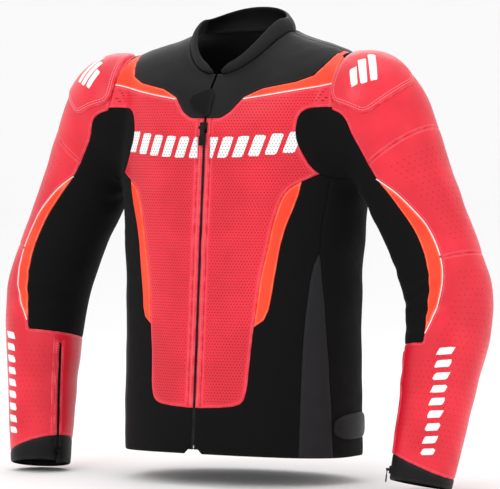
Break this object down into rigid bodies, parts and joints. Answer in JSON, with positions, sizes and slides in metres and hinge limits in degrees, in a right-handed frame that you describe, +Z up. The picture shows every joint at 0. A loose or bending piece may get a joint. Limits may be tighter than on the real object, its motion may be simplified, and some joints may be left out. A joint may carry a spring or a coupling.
{
  "type": "leather riding jacket",
  "caption": "Collared motorcycle jacket in panelled leather and stretch fabric, with armoured shoulders, a front zip, zipped cuffs and waist tabs.",
  "frame": {"origin": "middle of the neck opening, level with the seat on the shoulders", "axes": "+Z up, the front faces -Y, the wearer's left is +X"},
  "size_m": [0.7986, 0.2793, 0.6879],
  "materials": {
    "red_leather": "semi-gloss grained leather, perforated on the chest",
    "orange_leather": "smooth satin leather",
    "black_leather": "fine-grained satin leather",
    "grey_textile": "matte soft-touch textile",
    "black_stretch": "matte woven stretch",
    "mesh_lining": "open mesh lining",
    "armour_foam": "moulded foam",
    "zip": "black tape with moulded teeth",
    "metal": "black lacquered metal"
  },
  "bodies": {
    "torso": {"collar_back": "black_leather", "collar_front_left": "grey_textile", "collar_front_right": "grey_textile", "front_yoke_left": "black_leather", "front_yoke_right": "black_leather", "back_yoke": "black_leather", "shoulder_trim_left": "orange_leather", "shoulder_trim_right": "orange_leather", "chest_panel_left": "red_leather", "chest_panel_right": "red_leather", "armpit_panel_left": "black_stretch", "armpit_panel_right": "black_stretch", "side_strip_left": "orange_leather", "side_strip_right": "orange_leather", "side_insert_left": "grey_textile", "side_insert_right": "grey_textile", "front_side_panel_left": "black_leather", "front_side_panel_right": "black_leather", "side_panel_left": "black_leather", "side_panel_right": "black_leather", "back_panel": "red_leather", "lower_back_panel": "black_stretch", "front_zip_half_left": "zip", "front_zip_half_right": "zip", "torso_lining": "mesh_lining", "back_protector": "armour_foam", "hanger_loop": "black_leather", "connection_zip": "zip"},
    "upper_sleeve_left": {"shoulder_gusset_left": "black_stretch", "shoulder_cup_left": "red_leather", "shoulder_panel_left": "red_leather", "upper_arm_panel_left": "red_leather", "inner_sleeve_left": "black_stretch", "arm_trim_left": "orange_leather", "elbow_gusset_left": "black_stretch"},
    "forearm_left": {"elbow_armour_left": "armour_foam", "forearm_panel_left": "red_leather", "cuff_left": "black_leather", "cuff_zip_left": "zip"},
    "cuff_slider_left": {"cuff_slider_left": "metal"},
    "cuff_puller_left": {"cuff_puller_left": "metal"},
    "waist_tab_left": {"waist_tab_left": "black_leather"},
    "upper_sleeve_right": {"shoulder_gusset_right": "black_stretch", "shoulder_cup_right": "red_leather", "shoulder_panel_right": "red_leather", "upper_arm_panel_right": "red_leather", "inner_sleeve_right": "black_stretch", "arm_trim_right": "orange_leather", "elbow_gusset_right": "black_stretch"},
    "forearm_right": {"elbow_armour_right": "armour_foam", "forearm_panel_right": "red_leather", "cuff_right": "black_leather", "cuff_zip_right": "zip"},
    "cuff_slider_right": {"cuff_slider_right": "metal"},
    "cuff_puller_right": {"cuff_puller_right": "metal"},
    "waist_tab_right": {"waist_tab_right": "black_leather"},
    "front_zip_slider": {"front_zip_slider": "metal"},
    "front_zip_puller": {"front_zip_puller": "metal"},
    "throat_flap": {"throat_flap": "black_leather"}
  },
  "joints": [
    {"name": "shoulder_lift_left", "type": "hinge", "parent": "torso", "child": "upper_sleeve_left", "pos_m": [0.18399, 0, -0.055], "axis": [0, -1, 0], "range_deg": [-5, 30], "deforming": ["shoulder_gusset_left"]},
    {"name": "elbow_left", "type": "hinge", "parent": "upper_sleeve_left", "child": "forearm_left", "pos_m": [0.337, -0.008, -0.345], "axis": [-0.9848, 0, -0.1736], "range_deg": [-8, 70], "deforming": ["elbow_gusset_left"]},
    {"name": "cuff_zip_left", "type": "slide", "parent": "forearm_left", "child": "cuff_slider_left", "axis": [0.0579, 0.141, 0.9883], "range_m": [0, 0.145]},
    {"name": "cuff_pull_left", "type": "hinge", "parent": "cuff_slider_left", "child": "cuff_puller_left", "pos_m": [0.27445, -0.07617, -0.58058], "axis": [-0.4514, 0.8867, -0.1], "range_deg": [0, 120]},
    {"name": "waist_tab_open_left", "type": "hinge", "parent": "torso", "child": "waist_tab_left", "pos_m": [0.16775, 0.0509, -0.53], "axis": [0, 0, 1], "range_deg": [0, 80]},
    {"name": "shoulder_lift_right", "type": "hinge", "parent": "torso", "child": "upper_sleeve_right", "pos_m": [-0.18399, 0, -0.055], "axis": [0, 1, 0], "range_deg": [-5, 30], "deforming": ["shoulder_gusset_right"]},
    {"name": "elbow_right", "type": "hinge", "parent": "upper_sleeve_right", "child": "forearm_right", "pos_m": [-0.337, -0.008, -0.345], "axis": [-0.9848, 0, 0.1736], "range_deg": [-8, 70], "deforming": ["elbow_gusset_right"]},
    {"name": "cuff_zip_right", "type": "slide", "parent": "forearm_right", "child": "cuff_slider_right", "axis": [-0.0579, 0.141, 0.9883], "range_m": [0, 0.145]},
    {"name": "cuff_pull_right", "type": "hinge", "parent": "cuff_slider_right", "child": "cuff_puller_right", "pos_m": [-0.27445, -0.07617, -0.58058], "axis": [-0.4514, -0.8867, 0.1], "range_deg": [0, 120]},
    {"name": "waist_tab_open_right", "type": "hinge", "parent": "torso", "child": "waist_tab_right", "pos_m": [-0.16775, 0.0509, -0.53], "axis": [0, 0, -1], "range_deg": [0, 80]},
    {"name": "front_zip", "type": "slide", "parent": "torso", "child": "front_zip_slider", "axis": [0, -0.0743, -0.9972], "range_m": [0, 0.44]},
    {"name": "front_pull", "type": "hinge", "parent": "front_zip_slider", "child": "front_zip_puller", "pos_m": [0, -0.1217, -0.10113], "axis": [-1, 0, 0], "range_deg": [0, 120]},
    {"name": "throat_flap_open", "type": "hinge", "parent": "torso", "child": "throat_flap", "pos_m": [0.0098, -0.1088, -0.065], "axis": [0, 0.4075, 0.9132], "range_deg": [0, 100]}
  ]
}
